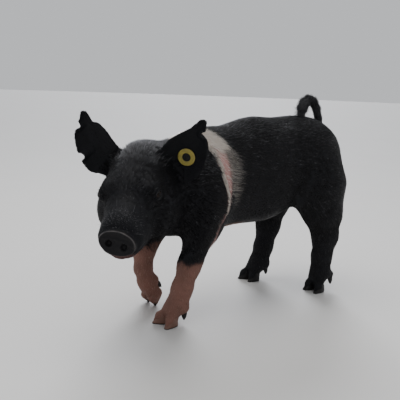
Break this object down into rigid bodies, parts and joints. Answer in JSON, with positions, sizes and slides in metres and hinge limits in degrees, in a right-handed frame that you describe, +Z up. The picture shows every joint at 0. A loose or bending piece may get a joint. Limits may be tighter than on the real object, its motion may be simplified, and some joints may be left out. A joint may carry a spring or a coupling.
{
  "type": "young pig model",
  "caption": "Still life-size model of a young belted pig standing and walking forward, head turned to its left, with a round ear tag and a curled tail",
  "frame": {"origin": "on the floor, under the middle of the pig's bounding box", "axes": "+X is the pig's left, +Y points to its tail end, +Z is up; the soles lie on z = 0"},
  "size_m": [0.2546, 0.5738, 0.3841],
  "materials": {
    "coat": "black skin under short, flat, slightly glossy bristles",
    "bare_skin": "pink skin under sparse pale bristles",
    "snout_skin": "wet, nearly hairless dark skin, satin to glossy",
    "eye": "dark brown, glossy",
    "pale_hoof": "pinkish-brown horn, satin, darker towards the sole",
    "dark_hoof": "nearly black horn, satin",
    "tag_yellow": "slightly translucent yellow plastic, satin",
    "tag_dark": "dark plastic, satin"
  },
  "bodies": {
    "root": {"trunk": "coat", "neck": "coat", "head": "coat", "lower_jaw": "coat", "eye_left": "eye", "eye_right": "eye", "snout_disc": "snout_skin", "ear_left": "coat", "ear_right": "coat", "tag_ring": "tag_yellow", "tag_stud": "tag_dark", "tag_button": "tag_yellow", "tail_base": "coat", "tail_tip": "coat", "fore_left_upper": "coat", "fore_left_lower": "bare_skin", "fore_left_hoof_inner": "pale_hoof", "fore_left_hoof_outer": "pale_hoof", "fore_left_dewclaw_inner": "dark_hoof", "fore_left_dewclaw_outer": "dark_hoof", "fore_right_upper": "coat", "fore_right_lower": "bare_skin", "fore_right_hoof_inner": "pale_hoof", "fore_right_hoof_outer": "pale_hoof", "fore_right_dewclaw_inner": "dark_hoof", "fore_right_dewclaw_outer": "dark_hoof", "hind_left_upper": "coat", "hind_left_lower": "coat", "hind_left_hoof_inner": "dark_hoof", "hind_left_hoof_outer": "dark_hoof", "hind_left_dewclaw_inner": "dark_hoof", "hind_left_dewclaw_outer": "dark_hoof", "hind_right_upper": "coat", "hind_right_lower": "coat", "hind_right_hoof_inner": "dark_hoof", "hind_right_hoof_outer": "dark_hoof", "hind_right_dewclaw_inner": "dark_hoof", "hind_right_dewclaw_outer": "dark_hoof"}
  },
  "joints": []
}
